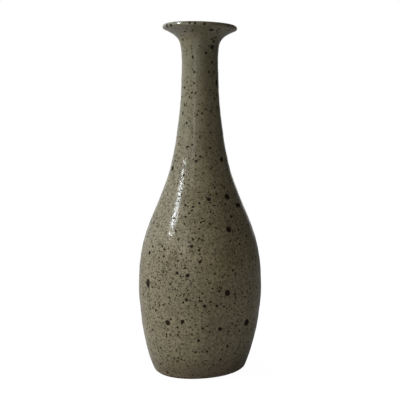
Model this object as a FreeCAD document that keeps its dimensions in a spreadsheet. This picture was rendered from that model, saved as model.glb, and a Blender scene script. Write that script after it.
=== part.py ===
import FreeCAD, Part
import math
import os
from collections import namedtuple

import Sketcher

# Bottle vase, thrown on the wheel in one piece: a trimmed foot ring, an egg-shaped belly, a slim
# neck and a flared lip. One glaze covers the outside, runs over the lip and ends in the throat,
# and a thinner liner glaze covers the inside from there down. The foot ring stays bare clay.
# Lengths are millimetres and angles are degrees. Up is +Z, and the origin is the middle of the
# foot, on the surface that the vase stands on.

SIZES = {
    # Foot ring: its flat, the round corner outside it and the turned recess inside it
    "foot_flat_radius": 29.5,
    "foot_corner_radius": 6.0,
    "foot_slope": 29.5,
    "foot_ring_width": 4.6,
    "foot_recess_depth": 2.2,
    # Outer form, as finished with its glaze
    "belly_radius": 46.5,
    "belly_rise": 62.3,
    "shoulder_radius": 28.95,
    "shoulder_rise": 72.7,
    "shoulder_slope": 22.3,
    "neck_radius": 13.7,
    "neck_rise": 101.2,
    "lip_rise": 24.6,
    "lip_radius": 28.0,
    "lip_edge_radius": 1.75,
    "lip_slope": 66.8,
    # Hollow, measured from the finished outer form to the clay inside
    "wall_thickness": 4.2,
    "floor_thickness": 5.3,
    "hollow_corner_radius": 10.0,
    "hollow_corner_setback": 6.0,
    "hollow_slope": 22.0,
    # Glaze
    "glaze_thickness": 0.4,
    "liner_thickness": 0.3,
    "glaze_line_height": 1.5,
    # How far a cut runs past the clay
    "overrun": 2.0,
}

# Control points of the wall's curves, as shares of the way across and up from one end to the
# other. A handle share says how far the curve leaves its end in the direction that it starts in.
LOWER_HANDLE_SHARE = 0.046
LOWER_POINT_SHARES = ((0.79, 0.416), (1, 0.925))
BELLY_HANDLE_SHARE = 0.487
SHOULDER_HANDLE_SHARES = (0.371, 0.189)
NECK_POINT_SHARES = ((0.786, 0.476), (1, 0.713))
LIP_HANDLE_SHARES = (0.625, 0.923)

# Roundings of the foot recess, as shares of its depth
RECESS_CORNER_SHARE = 0.5
RECESS_EDGE_SHARE = 0.3

CONTROL_POINT_WEIGHT = 1.0

# The numbers by which a sketch knows its axes, its root and the points of an edge
ACROSS_AXIS_INDEX = -1
UP_AXIS_INDEX = -2
ROOT_INDEXES = (-1, 1)
START_INDEX = 1
END_INDEX = 2
CENTRE_INDEX = 3

ON_AXIS = "0"

# A place in the wall's section: how far across from the axis and how far up, as formulas
Place = namedtuple("Place", "across up")

# One face of the wall, from its flat bottom through the corner, belly, shoulder and neck to the lip
Face = namedtuple("Face", "flat corner_radius slope belly shoulder neck lip")


def make_sizes(document):
    """Write every driving size into the spreadsheet, each under its own name."""
    sheet = document.addObject("Spreadsheet::Sheet", "Sizes")
    for row, (name, size) in enumerate(SIZES.items(), start=1):
        sheet.set(f"A{row}", name)
        sheet.set(f"B{row}", str(size))
        sheet.setAlias(f"B{row}", name)
    document.recompute()


def share_of_way(start, end, across_share, up_share):
    """The place at these shares of the way from one place to another."""
    return Place(
        f"({start.across} + ({end.across} - ({start.across})) * {across_share})",
        f"({start.up} + ({end.up} - ({start.up})) * {up_share})",
    )


SHOULDER_HEIGHT = "(Sizes.belly_rise + Sizes.shoulder_rise)"
NECK_HEIGHT = f"({SHOULDER_HEIGHT} + Sizes.neck_rise)"
TOTAL_HEIGHT = f"({NECK_HEIGHT} + Sizes.lip_rise)"
FLOOR_HEIGHT = "(Sizes.foot_recess_depth + Sizes.floor_thickness)"
LIP_CENTRE = Place(
    "(Sizes.lip_radius - Sizes.lip_edge_radius)",
    f"({TOTAL_HEIGHT} - Sizes.lip_edge_radius)",
)


def lip_place(radius, side):
    """Where a face meets the round lip edge: side is 1 on the underside and -1 in the mouth."""
    return Place(
        f"({LIP_CENTRE.across} + ({radius}) * cos(Sizes.lip_slope) * {side})",
        f"({LIP_CENTRE.up} - ({radius}) * sin(Sizes.lip_slope) * {side})",
    )


def outer_face(inset):
    """The outside of the wall, this far inside the finished outer form."""
    return Face(
        flat=Place(f"(Sizes.foot_flat_radius - {inset})", ON_AXIS),
        corner_radius="Sizes.foot_corner_radius",
        slope="Sizes.foot_slope",
        belly=Place(f"(Sizes.belly_radius - {inset})", "Sizes.belly_rise"),
        shoulder=Place(f"(Sizes.shoulder_radius - {inset})", SHOULDER_HEIGHT),
        neck=Place(f"(Sizes.neck_radius - {inset})", NECK_HEIGHT),
        lip=lip_place(f"Sizes.lip_edge_radius - {inset}", 1),
    )


def inner_face(cover, lip_inset):
    """The inside of the wall, with this much glaze on the clay and this inset at the lip."""
    inset = f"(Sizes.wall_thickness + {cover})"
    return Face(
        flat=Place(
            f"(Sizes.foot_flat_radius - Sizes.hollow_corner_setback - {cover})",
            f"({FLOOR_HEIGHT} + {cover})",
        ),
        corner_radius="Sizes.hollow_corner_radius",
        slope="Sizes.hollow_slope",
        belly=Place(f"(Sizes.belly_radius - {inset})", "Sizes.belly_rise"),
        shoulder=Place(f"(Sizes.shoulder_radius - {inset})", SHOULDER_HEIGHT),
        neck=Place(f"(Sizes.neck_radius - {inset})", NECK_HEIGHT),
        lip=lip_place(f"Sizes.lip_edge_radius - {lip_inset}", -1),
    )


GLAZED_OUTSIDE = outer_face("0")
CLAY_OUTSIDE = outer_face("Sizes.glaze_thickness")
CLAY_INSIDE = inner_face("0", "Sizes.glaze_thickness")
GLAZED_INSIDE = inner_face("Sizes.liner_thickness", "0")


def corner_centre(face):
    """The centre of the round corner between a face's flat bottom and its wall."""
    return Place(face.flat.across, f"({face.flat.up} + {face.corner_radius})")


def corner_top(face):
    """The place where the round corner ends and the wall's lower curve starts."""
    centre = corner_centre(face)
    return Place(
        f"({centre.across} + {face.corner_radius} * cos({face.slope}))",
        f"({centre.up} - {face.corner_radius} * sin({face.slope}))",
    )


def lower_curve(face):
    """Control points from the round corner up to the widest place of the belly."""
    start = corner_top(face)
    rise = f"({face.belly.up} - {start.up})"
    handle = Place(
        f"({start.across} + {rise} * {LOWER_HANDLE_SHARE} * tan({face.slope}))",
        f"({start.up} + {rise} * {LOWER_HANDLE_SHARE})",
    )
    points = [share_of_way(start, face.belly, *shares) for shares in LOWER_POINT_SHARES]
    return [start, handle, *points, face.belly]


def sloped_handle(place, rise, share):
    """A control point along the shoulder's slope, this share of a rise above its place."""
    return Place(
        f"({place.across} - ({rise}) * {share} * tan(Sizes.shoulder_slope))",
        f"({place.up} + ({rise}) * {share})",
    )


def belly_curve(face):
    """Control points from the widest place of the belly in to the steepest of the shoulder."""
    share_below = SHOULDER_HANDLE_SHARES[0]
    return [
        face.belly,
        share_of_way(face.belly, face.shoulder, 0, BELLY_HANDLE_SHARE),
        sloped_handle(face.shoulder, "-Sizes.shoulder_rise", share_below),
        face.shoulder,
    ]


def neck_curve(face):
    """Control points from the shoulder up to the narrowest place of the neck."""
    share_above = SHOULDER_HANDLE_SHARES[1]
    handle = sloped_handle(face.shoulder, "Sizes.neck_rise", share_above)
    points = [share_of_way(face.shoulder, face.neck, *shares) for shares in NECK_POINT_SHARES]
    return [face.shoulder, handle, *points, face.neck]


def lip_curve(face):
    """Control points from the narrowest place of the neck, flaring out to the lip edge."""
    neck_share, lip_share = LIP_HANDLE_SHARES
    reach = f"({face.lip.across} - {face.neck.across}) * {lip_share}"
    return [
        face.neck,
        share_of_way(face.neck, face.lip, 0, neck_share),
        Place(
            f"({face.lip.across} - {reach} * sin(Sizes.lip_slope))",
            f"({face.lip.up} - {reach} * cos(Sizes.lip_slope))",
        ),
        face.lip,
    ]


class Outline:
    """A closed outline in a sketch, drawn edge by edge through places given as formulas."""

    def __init__(self, sketch, start):
        self.sketch = sketch
        self.start = start
        self.place = start
        self.first_end = None
        self.last_end = None

    def vector(self, place):
        across, up = (float(self.sketch.evalExpression(formula)) for formula in place)
        return FreeCAD.Vector(across, up, 0)

    def constrain(self, kind, *elements):
        return self.sketch.addConstraint(Sketcher.Constraint(kind, *elements))

    def pin_distance(self, kind, axis, edge, end, formula):
        """Tie one coordinate of a point to its formula, or the point to an axis."""
        if formula == ON_AXIS:
            self.constrain("PointOnObject", edge, end, axis)
            return
        value = float(self.sketch.evalExpression(formula))
        index = self.constrain(kind, *ROOT_INDEXES, edge, end, value)
        self.sketch.setExpression(f"Constraints[{index}]", formula)

    def pin(self, edge, end, place):
        self.pin_distance("DistanceX", UP_AXIS_INDEX, edge, end, place.across)
        self.pin_distance("DistanceY", ACROSS_AXIS_INDEX, edge, end, place.up)

    def join(self, edge, edge_start, edge_end):
        """Hang a new edge on the end of the one before it."""
        if self.last_end is None:
            self.first_end = (edge, edge_start)
            self.pin(edge, edge_start, self.start)
        else:
            self.constrain("Coincident", *self.last_end, edge, edge_start)
        self.last_end = (edge, edge_end)

    def arrive(self, place):
        """Pin the new edge's end, or close the outline where it comes back to its start."""
        if place == self.start:
            self.constrain("Coincident", *self.last_end, *self.first_end)
        else:
            self.pin(*self.last_end, place)
        self.place = place

    def line_to(self, place):
        line = Part.LineSegment(self.vector(self.place), self.vector(place))
        edge = self.sketch.addGeometry(line, False)
        self.join(edge, START_INDEX, END_INDEX)
        self.arrive(place)

    def arc_to(self, place, centre, clockwise=False):
        """A round corner or edge about this centre."""
        middle = self.vector(centre)
        spokes = [self.vector(self.place) - middle, self.vector(place) - middle]
        angles = [math.atan2(spoke.y, spoke.x) for spoke in spokes]
        ends = [START_INDEX, END_INDEX]
        if clockwise:
            angles.reverse()
            ends.reverse()
        circle = Part.Circle(middle, FreeCAD.Vector(0, 0, 1), spokes[0].Length)
        edge = self.sketch.addGeometry(Part.ArcOfCircle(circle, *angles), False)
        self.join(edge, *ends)
        self.arrive(place)
        self.pin_distance("DistanceY", ACROSS_AXIS_INDEX, edge, CENTRE_INDEX, centre.up)

    def curve_to(self, places):
        """A smooth curve drawn towards its control points, the first of them the pen's place."""
        poles = [self.vector(place) for place in places]
        curve = Part.BSplineCurve()
        curve.buildFromPoles(poles)
        edge = self.sketch.addGeometry(curve, False)
        self.join(edge, START_INDEX, END_INDEX)
        role = "InternalAlignment:Sketcher::BSplineControlPoint"
        for number, (pole, place) in enumerate(zip(poles, places)):
            circle = Part.Circle(pole, FreeCAD.Vector(0, 0, 1), CONTROL_POINT_WEIGHT)
            mark = self.sketch.addGeometry(circle, True)
            self.constrain("Weight", mark, CONTROL_POINT_WEIGHT)
            self.constrain(role, mark, CENTRE_INDEX, edge, number)
            if 0 < number < len(places) - 1:
                self.pin(mark, CENTRE_INDEX, place)
        self.arrive(places[-1])

    def draw_up(self, face):
        """The wall of a face from the top of its corner to the lip."""
        for curve in (lower_curve, belly_curve, neck_curve, lip_curve):
            self.curve_to(curve(face))

    def draw_down(self, face):
        """The wall of a face from the neck to the flat at its bottom."""
        for curve in (neck_curve, belly_curve, lower_curve):
            self.curve_to(curve(face)[::-1])
        self.arc_to(face.flat, corner_centre(face), clockwise=True)


def origin_plane(body, role):
    return next(plane for plane in body.Origin.OriginFeatures if plane.Role == role)


def new_body(document, label):
    body = document.addObject("PartDesign::Body", label)
    body.Label = label
    body.Placement = FreeCAD.Placement()
    return body


def section_sketch(body, name):
    """An empty sketch in the upright plane through the axis."""
    sketch = body.newObject("Sketcher::SketchObject", name)
    sketch.AttachmentSupport = [(origin_plane(body, "XZ_Plane"), "")]
    sketch.MapMode = "FlatFace"
    body.Document.recompute()
    return sketch


def check_sketch(sketch):
    sketch.Document.recompute()
    if sketch.solve() != 0 or not sketch.FullyConstrained:
        raise RuntimeError(f"{sketch.Label} isn't solved or not fully constrained")


def turn(body, kind, name, sketch):
    """Turn a section about the upright axis, as a solid or as a cut."""
    check_sketch(sketch)
    feature = body.newObject(kind, name)
    feature.Profile = sketch
    feature.ReferenceAxis = (sketch, ["V_Axis"])
    body.Document.recompute()
    return feature


def draw_clay_wall(sketch):
    """The section of the thrown and trimmed clay, its foot still without the recess."""
    outline = Outline(sketch, Place(ON_AXIS, ON_AXIS))
    outline.line_to(CLAY_OUTSIDE.flat)
    outline.arc_to(corner_top(CLAY_OUTSIDE), corner_centre(CLAY_OUTSIDE))
    outline.draw_up(CLAY_OUTSIDE)
    outline.arc_to(CLAY_INSIDE.lip, LIP_CENTRE)
    outline.curve_to(lip_curve(CLAY_INSIDE)[::-1])
    outline.draw_down(CLAY_INSIDE)
    outline.line_to(Place(ON_AXIS, CLAY_INSIDE.flat.up))
    outline.line_to(outline.start)


def draw_foot_recess(sketch):
    """The section that the turning tool takes out of the foot, with its two roundings."""
    depth = "Sizes.foot_recess_depth"
    corner = f"{depth} * {RECESS_CORNER_SHARE}"
    edge = f"{depth} * {RECESS_EDGE_SHARE}"
    wall = "(Sizes.foot_flat_radius - Sizes.foot_ring_width)"
    below = "-Sizes.overrun"
    outline = Outline(sketch, Place(ON_AXIS, depth))
    outline.line_to(Place(f"{wall} - {corner}", depth))
    corner_middle = Place(f"{wall} - {corner}", f"{depth} - {corner}")
    outline.arc_to(Place(wall, f"{depth} - {corner}"), corner_middle, clockwise=True)
    outline.line_to(Place(wall, edge))
    outline.arc_to(Place(f"{wall} + {edge}", ON_AXIS), Place(f"{wall} + {edge}", edge))
    outline.line_to(Place(f"{wall} + {edge}", below))
    outline.line_to(Place(ON_AXIS, below))
    outline.line_to(outline.start)


def make_stoneware_body(document):
    """The clay: foot ring, wall, neck and lip, hollow from the mouth to the floor."""
    body = new_body(document, "stoneware_body")
    wall = section_sketch(body, "WallSection")
    draw_clay_wall(wall)
    thrown = turn(body, "PartDesign::Revolution", "ThrownWall", wall)
    recess = section_sketch(body, "RecessSection")
    draw_foot_recess(recess)
    trimmed = turn(body, "PartDesign::Groove", "TrimmedFoot", recess)
    if trimmed.Shape.Volume >= thrown.Shape.Volume:
        raise RuntimeError("The foot recess cuts nothing")
    return body


def glaze_line(face):
    """Where the outer glaze stops on a face's round foot corner."""
    radius = face.corner_radius
    drop = f"({radius} - Sizes.glaze_line_height)"
    return Place(f"({face.flat.across} + sqrt({radius}^2 - {drop}^2))", "Sizes.glaze_line_height")


def make_outer_glaze(document):
    """The glaze skin from the glaze line, over the lip, to its seam at the neck's narrowest."""
    body = new_body(document, "outer_glaze")
    sketch = section_sketch(body, "SkinSection")
    outline = Outline(sketch, glaze_line(CLAY_OUTSIDE))
    outline.line_to(glaze_line(GLAZED_OUTSIDE))
    outline.arc_to(corner_top(GLAZED_OUTSIDE), corner_centre(GLAZED_OUTSIDE))
    outline.draw_up(GLAZED_OUTSIDE)
    outline.arc_to(GLAZED_INSIDE.lip, LIP_CENTRE)
    outline.curve_to(lip_curve(GLAZED_INSIDE)[::-1])
    outline.line_to(CLAY_INSIDE.neck)
    outline.curve_to(lip_curve(CLAY_INSIDE))
    outline.arc_to(CLAY_OUTSIDE.lip, LIP_CENTRE, clockwise=True)
    for curve in (lip_curve, neck_curve, belly_curve, lower_curve):
        outline.curve_to(curve(CLAY_OUTSIDE)[::-1])
    outline.arc_to(outline.start, corner_centre(CLAY_OUTSIDE), clockwise=True)
    turn(body, "PartDesign::Revolution", "GlazeSkin", sketch)
    return body


def make_liner_glaze(document):
    """The thinner glaze skin inside, from the seam in the throat down over the floor."""
    body = new_body(document, "liner_glaze")
    sketch = section_sketch(body, "LinerSection")
    outline = Outline(sketch, Place(ON_AXIS, CLAY_INSIDE.flat.up))
    outline.line_to(CLAY_INSIDE.flat)
    outline.arc_to(corner_top(CLAY_INSIDE), corner_centre(CLAY_INSIDE))
    for curve in (lower_curve, belly_curve, neck_curve):
        outline.curve_to(curve(CLAY_INSIDE))
    outline.line_to(GLAZED_INSIDE.neck)
    outline.draw_down(GLAZED_INSIDE)
    outline.line_to(Place(ON_AXIS, GLAZED_INSIDE.flat.up))
    outline.line_to(outline.start)
    turn(body, "PartDesign::Revolution", "LinerSkin", sketch)
    return body


def check(document, bodies):
    """Stop if any feature failed or any piece isn't one sound solid."""
    for item in document.Objects:
        if "Invalid" in item.State or "Error" in item.State:
            raise RuntimeError(f"{item.Label} failed: {item.State}")
    for body in bodies:
        shape = body.Shape
        if shape.isNull() or not shape.isValid() or len(shape.Solids) != 1:
            raise RuntimeError(f"{body.Label} isn't one valid solid")


def main():
    document = FreeCAD.newDocument("bottle_vase")
    make_sizes(document)
    bodies = [
        make_stoneware_body(document),
        make_outer_glaze(document),
        make_liner_glaze(document),
    ]
    document.recompute()
    check(document, bodies)
    os.makedirs("parts", exist_ok=True)
    for body in bodies:
        body.Shape.exportStep(f"parts/{body.Label}.step")
        print(body.Label, "volume", round(body.Shape.Volume), "mm3")


main()
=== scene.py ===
import math
from collections import namedtuple

import bpy
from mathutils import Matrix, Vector


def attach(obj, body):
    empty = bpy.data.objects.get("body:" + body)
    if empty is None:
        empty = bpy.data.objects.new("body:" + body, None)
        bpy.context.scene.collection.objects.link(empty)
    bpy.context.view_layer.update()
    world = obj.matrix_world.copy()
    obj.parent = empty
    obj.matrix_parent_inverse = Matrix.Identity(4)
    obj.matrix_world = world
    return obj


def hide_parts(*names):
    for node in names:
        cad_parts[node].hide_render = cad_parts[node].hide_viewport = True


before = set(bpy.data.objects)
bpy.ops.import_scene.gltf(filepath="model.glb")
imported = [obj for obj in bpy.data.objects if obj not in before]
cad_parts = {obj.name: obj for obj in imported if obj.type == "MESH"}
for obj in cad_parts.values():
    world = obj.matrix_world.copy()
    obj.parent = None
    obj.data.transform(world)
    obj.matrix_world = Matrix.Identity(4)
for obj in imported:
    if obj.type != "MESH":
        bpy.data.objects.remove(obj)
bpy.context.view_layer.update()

# Bottle vase of speckled stoneware, thrown on the wheel in one piece. The clay, the glaze outside
# and the liner glaze inside are closed skins that share one hand-made unevenness, so they nest.
# Lengths are millimetres and angles are degrees, where nothing else is said.

METRE = 1000.0

# Outer form, as finished with its glaze
FOOT_FLAT_RADIUS = 29.5
FOOT_CORNER_RADIUS = 6.0
FOOT_SLOPE = 29.5
BELLY_RADIUS = 46.5
BELLY_HEIGHT = 62.3
SHOULDER_RADIUS = 28.95
SHOULDER_RISE = 72.7
SHOULDER_SLOPE = 22.3
NECK_RADIUS = 13.7
NECK_RISE = 101.2
LIP_RISE = 24.6
LIP_RADIUS = 28.0
LIP_EDGE_RADIUS = 1.75
LIP_SLOPE = 66.8
SHOULDER_HEIGHT = BELLY_HEIGHT + SHOULDER_RISE
NECK_HEIGHT = SHOULDER_HEIGHT + NECK_RISE
TOTAL_HEIGHT = NECK_HEIGHT + LIP_RISE

# Foot ring and hollow
FOOT_RING_WIDTH = 4.6
FOOT_RECESS_DEPTH = 2.2
WALL_THICKNESS = 4.2
FLOOR_THICKNESS = 5.3
HOLLOW_CORNER_RADIUS = 10.0
HOLLOW_CORNER_SETBACK = 6.0
HOLLOW_SLOPE = 22.0

# Roundings of the recess at its floor and at the foot ring, as shares of its depth
RECESS_CORNER_SHARE = 0.5
RECESS_EDGE_SHARE = 0.3

# Glaze
GLAZE_THICKNESS = 0.4
LINER_THICKNESS = 0.3

# Control points of the wall's curves, as shares of the way across and up
LOWER_HANDLE_SHARE = 0.046
LOWER_POINT_SHARES = ((0.79, 0.416), (1, 0.925))
BELLY_HANDLE_SHARE = 0.487
SHOULDER_HANDLE_SHARES = (0.371, 0.189)
NECK_POINT_SHARES = ((0.786, 0.476), (1, 0.713))
LIP_HANDLE_SHARES = (0.625, 0.923)

# Straight down in a section, and the front of the vase seen from above
DOWN = -90.0
FRONT = -90.0

# Rings along each stretch of a section, and segments round the vase
CORNER_STEPS = 14
LOWER_STEPS = 40
BELLY_STEPS = 56
NECK_STEPS = 84
LIP_STEPS = 40
EDGE_STEPS = 16
RECESS_STEPS = 8
RECESS_FLOOR_STEPS = 12
SEGMENTS = 180

# A mesh is shaded smooth where its faces meet at less than this
SHARP_ANGLE = 38

Place = namedtuple("Place", "across up")
Face = namedtuple("Face", "flat corner_radius slope belly shoulder neck lip")


def between(start, end, across_share, up_share):
    """The place at these shares of the way from one place to another."""
    return Place(
        start.across + (end.across - start.across) * across_share,
        start.up + (end.up - start.up) * up_share,
    )


def around(centre, radius, angle):
    """The place at this angle on a circle, measured from straight across."""
    turn = math.radians(angle)
    return Place(centre.across + radius * math.cos(turn), centre.up + radius * math.sin(turn))


def arc(centre, radius, start, sweep, steps):
    """Places along a circle, from a start angle and round by the sweep."""
    return [around(centre, radius, start + sweep * step / steps) for step in range(steps + 1)]


LIP_CENTRE = Place(LIP_RADIUS - LIP_EDGE_RADIUS, TOTAL_HEIGHT - LIP_EDGE_RADIUS)


def outer_face(inset):
    """The outside of the wall, this far inside the finished outer form."""
    return Face(
        flat=Place(FOOT_FLAT_RADIUS - inset, 0.0),
        corner_radius=FOOT_CORNER_RADIUS,
        slope=FOOT_SLOPE,
        belly=Place(BELLY_RADIUS - inset, BELLY_HEIGHT),
        shoulder=Place(SHOULDER_RADIUS - inset, SHOULDER_HEIGHT),
        neck=Place(NECK_RADIUS - inset, NECK_HEIGHT),
        lip=around(LIP_CENTRE, LIP_EDGE_RADIUS - inset, -LIP_SLOPE),
    )


def inner_face(cover, lip_inset):
    """The inside of the wall, with this much glaze on the clay and this inset at the lip."""
    inset = WALL_THICKNESS + cover
    floor = FOOT_RECESS_DEPTH + FLOOR_THICKNESS + cover
    return Face(
        flat=Place(FOOT_FLAT_RADIUS - HOLLOW_CORNER_SETBACK - cover, floor),
        corner_radius=HOLLOW_CORNER_RADIUS,
        slope=HOLLOW_SLOPE,
        belly=Place(BELLY_RADIUS - inset, BELLY_HEIGHT),
        shoulder=Place(SHOULDER_RADIUS - inset, SHOULDER_HEIGHT),
        neck=Place(NECK_RADIUS - inset, NECK_HEIGHT),
        lip=around(LIP_CENTRE, LIP_EDGE_RADIUS - lip_inset, 180 - LIP_SLOPE),
    )


GLAZED_OUTSIDE = outer_face(0.0)
CLAY_OUTSIDE = outer_face(GLAZE_THICKNESS)
CLAY_INSIDE = inner_face(0.0, GLAZE_THICKNESS)
GLAZED_INSIDE = inner_face(LINER_THICKNESS, 0.0)


def smooth_curve(points, steps):
    """Places along the even cubic spline that starts and ends on its outer control points."""
    spans = len(points) - 3
    knots = [0] * 3 + list(range(spans + 1)) + [spans] * 3
    places = []
    for step in range(steps + 1):
        way = spans * step / steps
        span = min(int(way), spans - 1)
        near = [Place(*point) for point in points[span:span + 4]]
        for level in (1, 2, 3):
            for index in range(3, level - 1, -1):
                low = knots[span + index]
                high = knots[span + index + 4 - level]
                share = (way - low) / (high - low)
                near[index] = between(near[index - 1], near[index], share, share)
        places.append(near[3])
    return places


def corner_centre(face):
    return Place(face.flat.across, face.flat.up + face.corner_radius)


def corner_arc(face, start):
    """The round corner from an angle on it to the start of the lower curve."""
    sweep = -face.slope - start
    return arc(corner_centre(face), face.corner_radius, start, sweep, CORNER_STEPS)


def lower_curve(face):
    """From the round corner up to the widest place of the belly."""
    start = around(corner_centre(face), face.corner_radius, -face.slope)
    rise = face.belly.up - start.up
    lean = math.tan(math.radians(face.slope))
    handle = Place(
        start.across + rise * LOWER_HANDLE_SHARE * lean,
        start.up + rise * LOWER_HANDLE_SHARE,
    )
    points = [between(start, face.belly, *shares) for shares in LOWER_POINT_SHARES]
    return smooth_curve([start, handle, *points, face.belly], LOWER_STEPS)


def sloped_handle(place, rise):
    """A control point along the shoulder's slope, this far above its place."""
    return Place(place.across - rise * math.tan(math.radians(SHOULDER_SLOPE)), place.up + rise)


def belly_curve(face):
    """From the widest place of the belly in to the steepest of the shoulder."""
    handle = between(face.belly, face.shoulder, 0, BELLY_HANDLE_SHARE)
    below = sloped_handle(face.shoulder, -SHOULDER_RISE * SHOULDER_HANDLE_SHARES[0])
    return smooth_curve([face.belly, handle, below, face.shoulder], BELLY_STEPS)


def neck_curve(face):
    """From the shoulder up to the narrowest place of the neck."""
    above = sloped_handle(face.shoulder, NECK_RISE * SHOULDER_HANDLE_SHARES[1])
    points = [between(face.shoulder, face.neck, *shares) for shares in NECK_POINT_SHARES]
    return smooth_curve([face.shoulder, above, *points, face.neck], NECK_STEPS)


def lip_curve(face):
    """From the narrowest place of the neck, flaring out to the lip edge."""
    neck_share, lip_share = LIP_HANDLE_SHARES
    slope = math.radians(LIP_SLOPE)
    reach = (face.lip.across - face.neck.across) * lip_share
    handle = Place(
        face.lip.across - reach * math.sin(slope),
        face.lip.up - reach * math.cos(slope),
    )
    start = between(face.neck, face.lip, 0, neck_share)
    return smooth_curve([face.neck, start, handle, face.lip], LIP_STEPS)


def lip_edge(inset):
    """The round lip edge from its underside over the top into the mouth."""
    return arc(LIP_CENTRE, LIP_EDGE_RADIUS - inset, -LIP_SLOPE, 180, EDGE_STEPS)


def joined(*stretches):
    """One line of places from stretches that start where the one before ends."""
    places = list(stretches[0])
    for stretch in stretches[1:]:
        places.extend(stretch[1:])
    return places


def wall(face):
    """The wall of a face from the top of its corner to the narrowest place of the neck."""
    return joined(lower_curve(face), belly_curve(face), neck_curve(face))


OUTSIDE_WALL = wall(GLAZED_OUTSIDE)
CLAY_OUTSIDE_WALL = wall(CLAY_OUTSIDE)
CLAY_INSIDE_WALL = wall(CLAY_INSIDE)
INSIDE_WALL = wall(GLAZED_INSIDE)


# Hand-made unevenness, the same for clay and glazes

# Throwing ripples wind up the wall, which also swells and shrinks a little, so many times round.
# The start is an angle in radians, and the twist is the rise that turns the swelling by one radian.
RIPPLE_DEPTH = 0.04
RIPPLE_PITCH = 8.7
SWELL_DEPTH = 0.10
SWELL_PITCH = 23.0
SWELL_START = 1.3
SWELL_TIMES = 2
SWELL_TWIST = 31.0

# Both fade out towards the widest place of the belly from this far above and below it, and
# between these heights towards the foot and the lip
EVEN_BELLY_REACH = 14.0
EVEN_FOOT_HEIGHTS = (2.0, 14.0)
EVEN_LIP_HEIGHTS = (246.0, 256.0)

# The trimmed edge of the foot: its height, its mean size, and waves that go round it so many
# times, each with a part that follows the cosine and one that follows the sine of the angle. It
# is uneven where the sine is under the front value, and round where it is over the back one.
FOOT_EDGE_HEIGHT = 4.3
FOOT_EDGE_SIZE = -0.31
FOOT_EDGE_WAVES = ((1, -2.0, 0.22), (2, -1.18, 0.04), (3, 0.88, -0.84))
FOOT_EDGE_FRONT = 0.10
FOOT_EDGE_BACK = 0.98

# The foot stands a little to the left, which ends at this height
FOOT_SHIFT = 0.9
FOOT_SHIFT_HEIGHT = 52.0

# The lip is lower on the right by its tilt, and moved sideways by its shift
LIP_TILT = 1.5
LIP_SHIFT = -0.2
LIP_TILT_HEIGHTS = (NECK_HEIGHT - 12.0, TOTAL_HEIGHT - 6.0)


def fade(value, start, end):
    """0 up to the start, 1 from the end on, and smooth between them."""
    share = min(1.0, max(0.0, (value - start) / (end - start)))
    return share * share * (3 - 2 * share)


def foot_edge(turn):
    """How far out the trimmed edge of the foot stands at this angle, given in radians."""
    size = FOOT_EDGE_SIZE
    for times, along, aside in FOOT_EDGE_WAVES:
        size += along * math.cos(times * turn) + aside * math.sin(times * turn)
    return size * fade(math.sin(turn), FOOT_EDGE_BACK, FOOT_EDGE_FRONT)


def dent(up, angle):
    """How far in the ripples and the swelling bring the wall at this height and angle."""
    ripple = math.sin(math.tau * (up / RIPPLE_PITCH + angle / 360))
    swell = math.sin(math.tau * up / SWELL_PITCH + SWELL_START)
    swell *= math.sin(SWELL_TIMES * math.radians(angle) + up / SWELL_TWIST)
    depth = RIPPLE_DEPTH * ripple + SWELL_DEPTH * swell
    return depth * fade(abs(up - BELLY_HEIGHT), 0.0, EVEN_BELLY_REACH)


def thrown(place, angle):
    """The point, in metres, that a place of the section has on the vase as it was made."""
    turn = math.radians(angle)
    across, up = place
    wall_share = min(1.0, across / NECK_RADIUS)
    uneven = fade(up, *EVEN_FOOT_HEIGHTS)
    across -= dent(up, angle) * wall_share * uneven * (1 - fade(up, *EVEN_LIP_HEIGHTS))
    across *= 1 + foot_edge(turn) * (1 - fade(up, 0.0, FOOT_EDGE_HEIGHT)) / FOOT_FLAT_RADIUS
    tilt = fade(up, *LIP_TILT_HEIGHTS)
    foot_share = 1 - fade(up, 0.0, FOOT_SHIFT_HEIGHT)
    x = across * math.cos(turn) - FOOT_SHIFT * foot_share + LIP_SHIFT * tilt
    y = across * math.sin(turn)
    up -= tilt * (LIP_TILT * (1 + x / LIP_RADIUS) / 2)
    return Vector((x, y, up)) / METRE


# Sections of the three pieces, each a closed line that may change round the vase

GLAZE_LINE_ANGLE = -49.0
GLAZE_BEAD_SHARE = 0.35

# The glaze line wanders this far, in waves with their times round, start in radians and share
GLAZE_LINE_REACH = 3.5
GLAZE_LINE_WAVES = ((3, 0.6, 0.5), (7, 2.0, 0.3), (13, 0.0, 0.2))


def glaze_line_angle(angle):
    """Where on the round foot corner the glaze stops, which wanders a little round the vase."""
    turn = math.radians(angle)
    wave = 0.0
    for times, start, share in GLAZE_LINE_WAVES:
        wave += math.sin(times * turn + start) * share
    return GLAZE_LINE_ANGLE + GLAZE_LINE_REACH * wave


def glaze_corner(angle):
    """The glaze's face on the foot corner, rounding down onto the clay at the glaze line."""
    start = glaze_line_angle(angle)
    glazed = corner_arc(GLAZED_OUTSIDE, start)
    clay = corner_arc(CLAY_OUTSIDE, start)
    rounded = []
    for step, (over, under) in enumerate(zip(glazed, clay)):
        share = min(1.0, step / CORNER_STEPS / GLAZE_BEAD_SHARE)
        height = math.sqrt(1 - (1 - share) ** 2)
        rounded.append(between(under, over, height, height))
    return rounded


OUTER_GLAZE_ABOVE = joined(OUTSIDE_WALL, lip_curve(GLAZED_OUTSIDE), lip_edge(0.0))
OUTER_GLAZE_THROAT = lip_curve(GLAZED_INSIDE)[::-1]
OUTER_GLAZE_BACK = joined(
    lip_curve(CLAY_INSIDE),
    lip_edge(GLAZE_THICKNESS)[::-1],
    lip_curve(CLAY_OUTSIDE)[::-1],
    CLAY_OUTSIDE_WALL[::-1],
)


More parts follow.
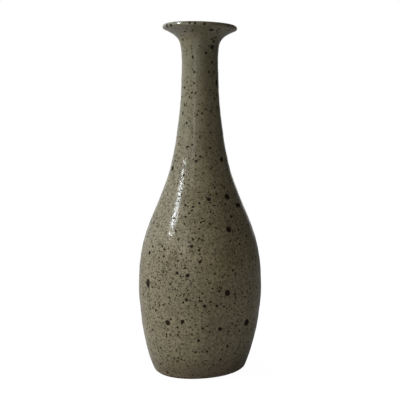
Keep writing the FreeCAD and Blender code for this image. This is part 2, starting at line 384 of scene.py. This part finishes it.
def outer_glaze_section(angle):
    """The outer glaze: up its face, down the throat, and back along the clay."""
    back = corner_arc(CLAY_OUTSIDE, glaze_line_angle(angle))[::-1]
    front = joined(glaze_corner(angle), OUTER_GLAZE_ABOVE, OUTER_GLAZE_THROAT)
    return front + OUTER_GLAZE_BACK + back[1:-1]


LINER_SECTION = (
    [Place(0.0, CLAY_INSIDE.flat.up)]
    + joined(corner_arc(CLAY_INSIDE, DOWN), CLAY_INSIDE_WALL)
    + INSIDE_WALL[::-1]
    + corner_arc(GLAZED_INSIDE, DOWN)[-2::-1]
    + [Place(0.0, GLAZED_INSIDE.flat.up)]
)


def foot_recess():
    """The turned recess under the foot, from the axis out over its roundings to the ring."""
    depth = FOOT_RECESS_DEPTH
    side = FOOT_FLAT_RADIUS - FOOT_RING_WIDTH
    corner = depth * RECESS_CORNER_SHARE
    edge = depth * RECESS_EDGE_SHARE
    steps = RECESS_FLOOR_STEPS
    floor = [Place((side - corner) * step / steps, depth) for step in range(steps + 1)]
    inner = arc(Place(side - corner, depth - corner), corner, 90, -90, RECESS_STEPS)
    outer = arc(Place(side + edge, edge), edge, 180, 90, RECESS_STEPS)
    return joined(floor, inner) + outer


CLAY_SECTION = (
    foot_recess()
    + joined(corner_arc(CLAY_OUTSIDE, DOWN), CLAY_OUTSIDE_WALL)
    + lip_curve(CLAY_OUTSIDE)[1:]
    + joined(lip_edge(GLAZE_THICKNESS), lip_curve(CLAY_INSIDE)[::-1])[1:]
    + joined(CLAY_INSIDE_WALL[::-1], corner_arc(CLAY_INSIDE, DOWN)[::-1])[1:]
    + [Place(0.0, CLAY_INSIDE.flat.up)]
)


def same_all_round(places):
    """A section that doesn't change with the angle."""
    return lambda angle: places


def turned_rings(section):
    """The points of a section turned round the vase, and the numbers of the points in each ring.

    A place on the axis is one point. A section that starts off the axis ends on its first ring.
    """
    angles = [360 * number / SEGMENTS for number in range(SEGMENTS)]
    sections = [section(angle) for angle in angles]
    points = []
    rings = []
    for row, place in enumerate(sections[0]):
        if place.across == 0:
            rings.append([len(points)] * SEGMENTS)
            points.append(thrown(place, 0.0))
        else:
            rings.append(range(len(points), len(points) + SEGMENTS))
            points.extend(thrown(line[row], angle) for line, angle in zip(sections, angles))
    if sections[0][0].across != 0:
        rings.append(rings[0])
    return points, rings


def ring_faces(low, high):
    """The faces between two rings, with three corners where one of the rings is a single point."""
    faces = []
    for number in range(SEGMENTS):
        after = (number + 1) % SEGMENTS
        corners = (low[number], low[after], high[after], high[number])
        faces.append(list(dict.fromkeys(corners)))
    return faces


def turned_mesh(name, section):
    """A closed mesh turned from a section whose places may change with the angle."""
    points, rings = turned_rings(section)
    faces = [face for low, high in zip(rings, rings[1:]) for face in ring_faces(low, high)]
    mesh = bpy.data.meshes.new(name)
    mesh.from_pydata(points, [], faces)
    mesh.polygons.foreach_set("use_smooth", [True] * len(faces))
    mesh.set_sharp_from_angle(angle=math.radians(SHARP_ANGLE))
    mesh.update()
    return mesh


def dress(name, node, section, material):
    """One piece of the vase, standing for its CAD node."""
    piece = bpy.data.objects.new(name, turned_mesh(name, section))
    bpy.context.scene.collection.objects.link(piece)
    piece.data.materials.append(material)
    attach(piece, "root")
    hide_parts(node)


# Materials

def srgb(red, green, blue):
    """A colour written as a picture shows it, from 0 to 255, as linear light."""
    shares = (channel / 255 for channel in (red, green, blue))
    light = [c / 12.92 if c <= 0.04045 else ((c + 0.055) / 1.055) ** 2.4 for c in shares]
    return (*light, 1.0)


class Wiring:
    """The nodes of one material, or of the world. A method that adds a node gives its output."""

    def __init__(self, owner, coordinates="Object"):
        self.owner = owner
        self.owner.use_nodes = True
        self.nodes = self.owner.node_tree.nodes
        self.links = self.owner.node_tree.links
        self.nodes.clear()
        self.place = self.add("ShaderNodeTexCoord").outputs[coordinates]

    def add(self, kind, **settings):
        node = self.nodes.new(kind)
        for name, setting in settings.items():
            setattr(node, name, setting)
        return node

    def feed(self, socket, value):
        if isinstance(value, bpy.types.NodeSocket):
            self.links.new(value, socket)
        else:
            socket.default_value = value

    def axes(self):
        """The x, y and z of the place."""
        node = self.add("ShaderNodeSeparateXYZ")
        self.feed(node.inputs[0], self.place)
        return node.outputs

    def math(self, operation, *values):
        node = self.add("ShaderNodeMath", operation=operation)
        for socket, value in zip(node.inputs, values):
            self.feed(socket, value)
        return node.outputs["Value"]

    def product(self, first, *others):
        result = first
        for other in others:
            result = self.math("MULTIPLY", result, other)
        return result

    def opposite(self, share):
        return self.math("SUBTRACT", 1.0, share)

    def vector(self, operation, first, second):
        node = self.add("ShaderNodeVectorMath", operation=operation)
        self.feed(node.inputs[0], first)
        self.feed(node.inputs[1], second)
        name = "Value" if operation in ("DISTANCE", "DOT_PRODUCT") else "Vector"
        return node.outputs[name]

    def shifted(self, offset):
        """The place, moved by an offset in metres."""
        return self.vector("ADD", self.place, offset)

    def spread(self, value, span, result=(0.0, 1.0), shape="SMOOTHSTEP"):
        """A value carried from its own span to that of the result."""
        node = self.add("ShaderNodeMapRange", interpolation_type=shape)
        names = ("Value", "From Min", "From Max", "To Min", "To Max")
        for name, number in zip(names, (value, *span, *result)):
            self.feed(node.inputs[name], number)
        return node.outputs["Result"]

    def along(self, length, span, result=(0.0, 1.0)):
        """The same for a coordinate or a distance, with its span in millimetres."""
        return self.spread(length, [end / METRE for end in span], result)

    def noise(self, size, detail, shift=None, stretch=None):
        """Cloudy noise whose features are about this many millimetres wide. A shift is in metres."""
        where = self.shifted(shift) if shift else self.place
        if stretch:
            where = self.vector("MULTIPLY", where, stretch)
        node = self.add("ShaderNodeTexNoise")
        self.feed(node.inputs["Vector"], where)
        node.inputs["Scale"].default_value = METRE / size
        node.inputs["Detail"].default_value = detail
        return node.outputs["Fac"]

    def clouds(self, size, detail, span, result=(0.0, 1.0), **where):
        """Noise carried from a span of its values to that of the result."""
        return self.spread(self.noise(size, detail, **where), span, result)

    def jitter(self, size, reach):
        """A push that changes over this many millimetres, up to half the reach each way."""
        node = self.add("ShaderNodeTexNoise")
        self.feed(node.inputs["Vector"], self.place)
        node.inputs["Scale"].default_value = METRE / size
        centred = self.vector("SUBTRACT", node.outputs["Color"], (0.5, 0.5, 0.5))
        return self.vector("MULTIPLY", centred, (reach / METRE,) * 3)

    def specks(self, cell, radius, extra, soft, share, place):
        """Round specks in a share of the cells, with a radius, up to so much extra and a soft edge.

        The sizes are millimetres.
        """
        node = self.add("ShaderNodeTexVoronoi")
        self.feed(node.inputs["Vector"], place)
        node.inputs["Scale"].default_value = METRE / cell
        parts = self.add("ShaderNodeSeparateColor")
        self.feed(parts.inputs[0], node.outputs["Color"])
        reach = self.math("MULTIPLY_ADD", parts.outputs[0], extra / cell, radius / cell)
        inside = self.math("SUBTRACT", reach, node.outputs["Distance"])
        mask = self.spread(inside, (0.0, soft / cell))
        there = self.math("LESS_THAN", parts.outputs[1], share)
        return self.product(mask, there)

    def blend(self, factor, first, second):
        node = self.add("ShaderNodeMix", data_type="RGBA")
        for name, value in (("Factor_Float", factor), ("A_Color", first), ("B_Color", second)):
            socket = next(item for item in node.inputs if item.identifier == name)
            self.feed(socket, value)
        return next(item for item in node.outputs if item.identifier == "Result_Color")

    def bump(self, height, depth, normal=None):
        """A bump of this many millimetres at full height."""
        node = self.add("ShaderNodeBump")
        self.feed(node.inputs["Height"], height)
        node.inputs["Distance"].default_value = depth / METRE
        if normal:
            self.feed(node.inputs["Normal"], normal)
        return node.outputs["Normal"]

    def show(self, shader, kind="ShaderNodeOutputMaterial"):
        """Takes the shader for the surface, and gives the finished material or world."""
        output = self.add(kind)
        self.feed(output.inputs["Surface"], shader.outputs[0])
        return self.owner

    def finish(self, **inputs):
        """The finished material, with these inputs of its one surface shader."""
        shader = self.add("ShaderNodeBsdfPrincipled")
        for name, value in inputs.items():
            self.feed(shader.inputs[name.replace("_", " ")], value)
        return self.show(shader)


# Noise is drawn out round the vase, widely for bands and more for turning lines
BAND_STRETCH = (0.12, 0.12, 1.0)
TURNING_STRETCH = (0.05, 0.05, 1.0)

GLAZE_IOR = 1.5

# Colours of the speckled glaze, and of the painted shade on it
WARM_GLAZE = srgb(186, 171, 136)
COOL_GLAZE = srgb(174, 162, 130)
THIN_GLAZE = srgb(162, 147, 111)
# Painted shade that darkens the glaze more and more up the body and the neck, under the flaring lip
NECK_PAINTED_SHADE = srgb(132, 128, 103)
MOTTLED_GLAZE = srgb(120, 108, 78)
# Painted shade under the flaring lip, deepest on the right, away from the lamps
LIP_PAINTED_SHADE = srgb(96, 94, 76)
# Browner glaze towards the foot, partly its own colour and partly painted contact shade
FOOT_GLAZE_AND_SHADE = srgb(104, 80, 54)
GRAIN = srgb(104, 92, 64)
SPECK_BROWN = srgb(46, 34, 12)
SPOT_BROWN = srgb(40, 32, 22)
SPOT_PURPLE = srgb(50, 37, 36)
BAND_COVER = 0.35
IRON_COVER = 0.95

# Colours of the liner glaze and of the clay
WARM_LINER = srgb(140, 135, 112)
COOL_LINER = srgb(130, 128, 106)
LINER_SPECK = srgb(50, 42, 27)
LINER_SPECK_COVER = 0.8
PALE_CLAY = srgb(126, 104, 78)
TOASTED_CLAY = srgb(104, 82, 58)
GROG = srgb(150, 130, 102)
GROG_COVER = 0.7
CLAY_IRON = srgb(58, 42, 30)
CLAY_IRON_COVER = 0.8

# Heights between which the glaze turns into the smoother, glossier edge of the lip
LIP_EDGE_HEIGHTS = (257.4, 259.0)

# Matt iron has this specular level and no coat. The satin glaze adds its own share, and the edge
# of the lip adds to that and takes roughness away.
MATT_SPECULAR = 0.04
SATIN_SPECULAR = 0.40
EDGE_SPECULAR = 0.60
SATIN_COAT = 0.52
EDGE_COAT = 0.48
COAT_ROUGHNESS = 0.135
SATIN_ROUGHNESS = (0.46, 0.56)
EDGE_ROUGHNESS = -0.30

# How deep the relief of the speckled glaze is
PEEL_DEPTH = 0.12
TURNING_DEPTH = 0.09
PIT_DEPTH = 0.06
SPOT_RELIEF = 0.05

# The share of cells with a fine speck where specks are dense, and with a spot at the back
FINE_SPECK_SHARE = 0.80
BACK_SPOT_SHARE = 0.30

# Edges of specks are ragged by a push that changes over this size, up to half the reach each way.
# A placed spot takes a share of the push.
RAGGED_SIZE = 1.5
RAGGED_REACH = 2.0
SPOT_RAGGED_SHARE = 0.16

# Half the width of a placed spot's soft edge, whose middle is at so many times the spot's radius
SPOT_EDGE = 0.25
SPOT_GROWTH = 1.07

# Larger iron spots that show from the front: how far round from the middle of the front, towards
# the right, how high, and their radius
IRON_SPOTS = (
    (-55, 69.4, 2.2), (-55, 70.8, 2.2), (25, 65.2, 2.0), (50, 41.0, 2.5), (19, 38.8, 1.4),
    (-31, 44.0, 1.9), (-16, 45.4, 1.4), (-12, 61.7, 1.2), (-15, 59.7, 0.8), (4, 57.6, 1.2),
    (15, 56.8, 1.0), (-1, 31.3, 1.0), (-11, 78.4, 1.3), (-21, 80.0, 1.0), (0, 88.8, 1.1),
    (-8, 99.7, 1.2), (-57, 92.1, 1.4), (17, 68.0, 0.8), (29, 25.1, 1.0), (32, 110.6, 2.0),
    (42, 133.6, 2.1), (58, 126.4, 1.8), (64, 126.4, 1.8), (12, 132.3, 1.4), (50, 160.2, 1.7),
    (-8, 159.1, 1.0), (-66, 154.3, 2.0), (-30, 149.0, 0.8), (-37, 187.3, 0.9), (23, 139.7, 0.7),
    (40, 119.6, 1.1), (1, 115.6, 0.8), (-1, 130.1, 0.8), (-9, 126.7, 0.8), (-29, 170.0, 0.9),
    (6, 194.1, 0.8), (32, 196.1, 0.7), (-8, 193.3, 0.7), (47, 206.0, 0.8), (-14, 209.0, 0.7),
    (40, 243.7, 1.6), (19, 238.6, 0.9), (40, 232.1, 1.0), (-18, 225.3, 0.8), (28, 224.6, 0.8),
    (62, 215.9, 1.6), (63, 217.9, 1.5), (-54, 213.7, 0.9), (-53, 249.2, 0.9), (22, 255.2, 1.5),
    (35, 256.4, 0.8), (45, 250.9, 0.7), (43, 247.8, 1.0), (33, 249.4, 0.6), (-17, 215.9, 0.7),
    (-43, 209.4, 0.6), (-60, 258.0, 1.3), (-49, 258.0, 1.3), (7, 258.6, 0.9), (-15, 259.3, 0.9),
    (-7, 259.0, 0.8),
)

OUTER_FORM = joined(corner_arc(GLAZED_OUTSIDE, DOWN), OUTER_GLAZE_ABOVE)


def spot_centre(angle, up):
    """The point on the outer form at this height, this far round from the front."""
    place = min(OUTER_FORM, key=lambda each: abs(each.up - up))
    return thrown(place, FRONT + angle)


def placed_spots(wiring, place):
    """How far inside the nearest larger spot a place is, in metres, less than 0 outside."""
    deepest = None
    for angle, up, radius in IRON_SPOTS:
        distance = wiring.vector("DISTANCE", place, spot_centre(angle, up))
        depth = wiring.math("SUBTRACT", SPOT_GROWTH * radius / METRE, distance)
        deepest = depth if deepest is None else wiring.math("MAXIMUM", deepest, depth)
    return deepest


def glaze_ground(wiring, x, z):
    """The ground colour: cloudy, with faint bands where the turning left the glaze thinner, a fine
    mottled grain where iron came through from the clay, painted shade that darkens the neck and the
    underside of the lip, and a darker foot, partly its own brown glaze and partly painted shade.
    """
    clouds = wiring.clouds(34.0, 4.0, (0.35, 0.65))
    bands = wiring.clouds(11.0, 3.0, (0.35, 0.65), stretch=BAND_STRETCH)
    mottle = wiring.clouds(4.2, 2.0, (0.45, 0.64), (0.0, 0.36), shift=(0.2, 0.5, 0.8))
    grain = wiring.clouds(1.4, 3.0, (0.56, 0.40), shift=(0.4, 0.9, 0.1))
    # Painted shade under the lip, stronger towards the right
    painted_shade_under_lip = wiring.product(
        wiring.along(z, (210.0, 232.0), (0.0, 0.30)),
        wiring.along(z, (252.0, 243.0)),
        wiring.along(x, (-12.0, 0.0), (0.2, 1.0)),
    )
    layers = (
        (wiring.product(bands, BAND_COVER), THIN_GLAZE),
        # painted shade, darker up the body and the neck
        (wiring.along(z, (80.0, 235.0), (0.0, 0.66)), NECK_PAINTED_SHADE),
        (mottle, MOTTLED_GLAZE),
        # painted shade under the lip
        (painted_shade_under_lip, LIP_PAINTED_SHADE),
        # darker towards the foot: brown glaze and painted contact shade
        (wiring.along(z, (24.0, 4.0), (0.0, 0.66)), FOOT_GLAZE_AND_SHADE),
        (wiring.product(grain, wiring.along(z, (230.0, 100.0), (0.36, 0.62))), GRAIN),
    )
    ground = wiring.blend(clouds, WARM_GLAZE, COOL_GLAZE)
    for share, colour in layers:
        ground = wiring.blend(share, ground, colour)
    return ground


def small_specks(wiring, place, x, z):
    """Fine and medium specks, densest low down and on the left, in patches and clusters."""
    patches = wiring.clouds(22.0, 3.0, (0.3, 0.7), (0.55, 1.2), shift=(0.3, 0.1, 0.2))
    clusters = wiring.clouds(8.0, 2.0, (0.38, 0.62), (0.35, 1.0), shift=(0.1, 0.6, 0.3))
    dense = wiring.product(
        wiring.along(z, (250.0, 110.0), (0.55, 1.0)),
        patches,
        wiring.along(x, (10.0, -30.0), (0.82, 1.20)),
    )
    fine_share = wiring.product(dense, FINE_SPECK_SHARE)
    fine = wiring.specks(
        cell=1.6, radius=0.36, extra=0.42, soft=0.22, share=fine_share, place=place)
    strength = wiring.product(
        wiring.along(x, (10.0, -25.0), (0.74, 0.95)),
        wiring.along(z, (25.0, 75.0), (0.80, 1.0)),
    )
    medium_share = wiring.product(dense, clusters, wiring.along(x, (0.0, -30.0), (0.72, 1.0)))
    medium = wiring.specks(
        cell=2.6, radius=0.46, extra=0.62, soft=0.22, share=medium_share, place=place)
    return wiring.math("MAXIMUM", wiring.product(fine, strength), medium)


def large_spots(wiring, place, push, y):
    """Larger iron spots: random ones at the back and sides, and those of the front in place."""
    behind = wiring.product(wiring.along(y, (-12.0, 4.0)), BACK_SPOT_SHARE)
    strewn = wiring.specks(cell=9.5, radius=0.8, extra=1.3, soft=0.35, share=behind, place=place)
    small_push = wiring.vector("MULTIPLY", push, (SPOT_RAGGED_SHARE,) * 3)
    depth = placed_spots(wiring, wiring.shifted(small_push))
    return wiring.math("MAXIMUM", strewn, wiring.along(depth, (-SPOT_EDGE, SPOT_EDGE)))


def iron_over(wiring, ground, small, large):
    """The ground colour with its iron specks and spots."""
    tone = wiring.clouds(9.0, 2.0, (0.4, 0.6))
    large_colour = wiring.blend(tone, SPOT_BROWN, SPOT_PURPLE)
    specked = wiring.blend(wiring.product(small, IRON_COVER), ground, SPECK_BROWN)
    return wiring.blend(wiring.product(large, IRON_COVER), specked, large_colour)


def glaze_relief(wiring, edge, large):
    """A soft orange-peel, turning lines, pits and raised spots."""
    below_edge = wiring.opposite(edge)
    peel = wiring.product(wiring.noise(1.5, 2.0), below_edge)
    turning = wiring.product(wiring.noise(2.4, 2.0, stretch=TURNING_STRETCH), below_edge)
    pit_place = wiring.shifted((0.7, 0.2, 0.5))
    pits = wiring.specks(cell=3.4, radius=0.12, extra=0.18, soft=0.15, share=0.35, place=pit_place)
    normal = wiring.bump(peel, PEEL_DEPTH)
    normal = wiring.bump(turning, TURNING_DEPTH, normal)
    normal = wiring.bump(wiring.opposite(pits), PIT_DEPTH, normal)
    return wiring.bump(large, SPOT_RELIEF, normal)


def glaze_gloss(wiring, edge, iron):
    """A satin gloss that is higher on the edge of the lip. Iron leaves the glaze matt."""
    gloss = wiring.opposite(iron)
    roughness = wiring.clouds(6.0, 3.0, (0.3, 0.7), SATIN_ROUGHNESS)
    specular = wiring.math("MULTIPLY_ADD", gloss, SATIN_SPECULAR, MATT_SPECULAR)
    edge_gloss = wiring.product(edge, gloss)
    coat = wiring.math("MULTIPLY_ADD", edge, EDGE_COAT, SATIN_COAT)
    return {
        "Roughness": wiring.math("MULTIPLY_ADD", edge, EDGE_ROUGHNESS, roughness),
        "Specular_IOR_Level": wiring.math("MULTIPLY_ADD", edge_gloss, EDGE_SPECULAR, specular),
        "Coat_Weight": wiring.product(gloss, coat),
        "Coat_Roughness": COAT_ROUGHNESS,
    }


def speckled_glaze():
    """Grey-green satin glaze with iron specks, on the outside."""
    wiring = Wiring(bpy.data.materials.new("speckled_glaze"))
    x, y, z = wiring.axes()
    push = wiring.jitter(RAGGED_SIZE, RAGGED_REACH)
    ragged = wiring.shifted(push)
    small = small_specks(wiring, ragged, x, z)
    large = large_spots(wiring, ragged, push, y)
    edge = wiring.along(z, LIP_EDGE_HEIGHTS)
    normal = glaze_relief(wiring, edge, large)
    return wiring.finish(
        Base_Color=iron_over(wiring, glaze_ground(wiring, x, z), small, large),
        IOR=GLAZE_IOR,
        Normal=normal,
        Coat_Normal=normal,
        **glaze_gloss(wiring, edge, wiring.math("MAXIMUM", large, small)),
    )


def liner_glaze():
    """The glaze inside, with fine specks only."""
    wiring = Wiring(bpy.data.materials.new("liner_glaze"))
    clouds = wiring.clouds(28.0, 4.0, (0.35, 0.65))
    ground = wiring.blend(clouds, WARM_LINER, COOL_LINER)
    specks = wiring.specks(
        cell=3.1, radius=0.22, extra=0.5, soft=0.25, share=0.30, place=wiring.place)
    normal = wiring.bump(wiring.noise(1.9, 2.0), 0.05)
    normal = wiring.bump(wiring.noise(3.0, 2.0, stretch=TURNING_STRETCH), 0.15, normal)
    return wiring.finish(
        Base_Color=wiring.blend(wiring.product(specks, LINER_SPECK_COVER), ground, LINER_SPECK),
        Roughness=wiring.clouds(7.0, 3.0, (0.3, 0.7), (0.34, 0.48)),
        IOR=GLAZE_IOR,
        Normal=normal,
    )


def bare_stoneware():
    """Toasted clay with pale grog and iron grains."""
    wiring = Wiring(bpy.data.materials.new("bare_stoneware"))
    clouds = wiring.clouds(9.0, 5.0, (0.3, 0.7))
    toasted = wiring.blend(clouds, PALE_CLAY, TOASTED_CLAY)
    grog = wiring.specks(
        cell=1.6, radius=0.15, extra=0.25, soft=0.2, share=0.4, place=wiring.place)
    colour = wiring.blend(wiring.product(grog, GROG_COVER), toasted, GROG)
    iron_place = wiring.shifted((0.2, 0.4, 0.1))
    iron = wiring.specks(cell=2.7, radius=0.2, extra=0.4, soft=0.2, share=0.3, place=iron_place)
    grain = wiring.noise(0.7, 4.0)
    return wiring.finish(
        Base_Color=wiring.blend(wiring.product(iron, CLAY_IRON_COVER), colour, CLAY_IRON),
        Roughness=wiring.spread(grain, (0.3, 0.7), (0.78, 0.92)),
        Specular_IOR_Level=0.3,
        Normal=wiring.bump(grain, 0.10),
    )


# Camera, lamps and surroundings

CAMERA_PLACE = Vector((0.0, -672.6, 180.0)) / METRE
CAMERA_TARGET = Vector((0.0, 0.0, 129.5)) / METRE
CAMERA_LENS = 80.2
SENSOR_WIDTH = 36.0

# Soft boxes that face the vase: their angle round from the camera's side towards the right, their
# angle above the level, their distance, width and height in metres, their power in watts and
# their colour. They aim at this place on the axis, also in metres.
Lamp = namedtuple("Lamp", "name angle rise distance width height power colour")
LAMP_AIM = Vector((0.0, 0.0, 0.13))
LAMPS = (
    Lamp("window_left", -69.4, 29.6, 1.10, 0.12, 0.20, 4.3, (0.90, 0.96, 1.0)),
    Lamp("window_front", -31.5, 20.0, 1.10, 0.22, 0.42, 0.8, (1.0, 0.98, 0.94)),
    Lamp("pale_wall", -23.0, 4.0, 1.20, 1.00, 0.60, 0.79, (1.0, 0.98, 0.95)),
)

# The floor: how far it reaches each way in metres, its grey in the lamps' light and where the
# camera sees it, its white in the camera, and the share of that white that is mirrored, which
# grows over this span from right to left
FLOOR_REACH = 4.0
FLOOR_GREY = (0.52, 0.52, 0.52, 1)
FLOOR_SEEN_GREY = (0.08, 0.08, 0.08, 1)
FLOOR_WHITE = 0.985
FLOOR_MIRRORED_SPAN = (50.0, -100.0)
FLOOR_MIRRORED = (0.05, 0.34)

# The room: its colours, the side that is bright with how straight a direction points there, and
# the same for the backdrop that the vase mirrors white
ROOM_DIM = (0.064, 0.061, 0.055, 1)
ROOM_BRIGHT = (0.76, 0.80, 0.78, 1)
BRIGHT_SIDE = Vector((-0.80, 0.58, 0.15)).normalized()
BRIGHT_SIDE_SPAN = (0.3, 1.0)
BACKDROP_SPAN = (0.84, 0.96)
WHITE = (1, 1, 1, 1)


def make_camera():
    camera = bpy.data.objects.new("camera", bpy.data.cameras.new("camera"))
    camera.data.sensor_width = SENSOR_WIDTH
    camera.data.lens = CAMERA_LENS
    camera.location = CAMERA_PLACE
    camera.rotation_euler = (CAMERA_TARGET - CAMERA_PLACE).to_track_quat("-Z", "Y").to_euler()
    bpy.context.scene.collection.objects.link(camera)
    bpy.context.scene.camera = camera


def make_lamp(lamp):
    side = math.radians(lamp.angle)
    lift = math.radians(lamp.rise)
    way = Vector((
        math.sin(side) * math.cos(lift),
        -math.cos(side) * math.cos(lift),
        math.sin(lift),
    ))
    light = bpy.data.objects.new(lamp.name, bpy.data.lights.new(lamp.name, "AREA"))
    light.data.shape = "RECTANGLE"
    light.data.size = lamp.width
    light.data.size_y = lamp.height
    light.data.energy = lamp.power
    light.data.color = lamp.colour
    light.location = LAMP_AIM + way * lamp.distance
    light.rotation_euler = (-way).to_track_quat("-Z", "Y").to_euler()
    bpy.context.scene.collection.objects.link(light)


def camera_rays(wiring, mirrored):
    """1 where the camera looks, and the same with this share of what the vase mirrors."""
    rays = wiring.add("ShaderNodeLightPath").outputs
    seen = wiring.math("MAXIMUM", rays["Is Camera Ray"], rays["Is Transmission Ray"])
    glossy = wiring.product(rays["Is Glossy Ray"], mirrored)
    return seen, wiring.math("MAXIMUM", seen, glossy)


def pale_floor():
    """White to the camera and partly to what mirrors it, and grey where light falls on it."""
    wiring = Wiring(bpy.data.materials.new("pale_floor"))
    mirrored = wiring.along(wiring.axes()["X"], FLOOR_MIRRORED_SPAN, FLOOR_MIRRORED)
    seen, shown = camera_rays(wiring, mirrored)
    pale = wiring.add("ShaderNodeBsdfDiffuse")
    wiring.feed(pale.inputs["Color"], wiring.blend(seen, FLOOR_GREY, FLOOR_SEEN_GREY))
    white = wiring.add("ShaderNodeEmission")
    wiring.feed(white.inputs["Strength"], wiring.product(shown, FLOOR_WHITE))
    both = wiring.add("ShaderNodeAddShader")
    wiring.feed(both.inputs[0], pale.outputs[0])
    wiring.feed(both.inputs[1], white.outputs[0])
    return wiring.show(both)


def make_floor():
    """A pale floor that keeps a faint shadow."""
    reach = FLOOR_REACH
    corners = [(-reach, -reach, 0), (reach, -reach, 0), (reach, reach, 0), (-reach, reach, 0)]
    mesh = bpy.data.meshes.new("floor")
    mesh.from_pydata(corners, [], [(0, 1, 2, 3)])
    floor = bpy.data.objects.new("floor", mesh)
    bpy.context.scene.collection.objects.link(floor)
    mesh.materials.append(pale_floor())


def make_world():
    """A dim room that is brighter behind on the left, and white where the camera looks at it."""
    wiring = Wiring(bpy.data.worlds.new("studio"), "Generated")
    facing = wiring.vector("DOT_PRODUCT", wiring.place, BRIGHT_SIDE)
    room = wiring.blend(wiring.spread(facing, BRIGHT_SIDE_SPAN), ROOM_DIM, ROOM_BRIGHT)
    backdrop = wiring.spread(wiring.axes()["Y"], BACKDROP_SPAN, shape="LINEAR")
    seen, shown = camera_rays(wiring, backdrop)
    light = wiring.add("ShaderNodeBackground")
    wiring.feed(light.inputs["Color"], wiring.blend(shown, room, WHITE))
    bpy.context.scene.world = wiring.show(light, "ShaderNodeOutputWorld")


bpy.context.scene.view_settings.view_transform = "Standard"
make_camera()
for each_lamp in LAMPS:
    make_lamp(each_lamp)
make_floor()
make_world()
dress("glazed_outside", "outer_glaze", outer_glaze_section, speckled_glaze())
dress("glazed_inside", "liner_glaze", same_all_round(LINER_SECTION), liner_glaze())
dress("clay_wall", "stoneware_body", same_all_round(CLAY_SECTION), bare_stoneware())
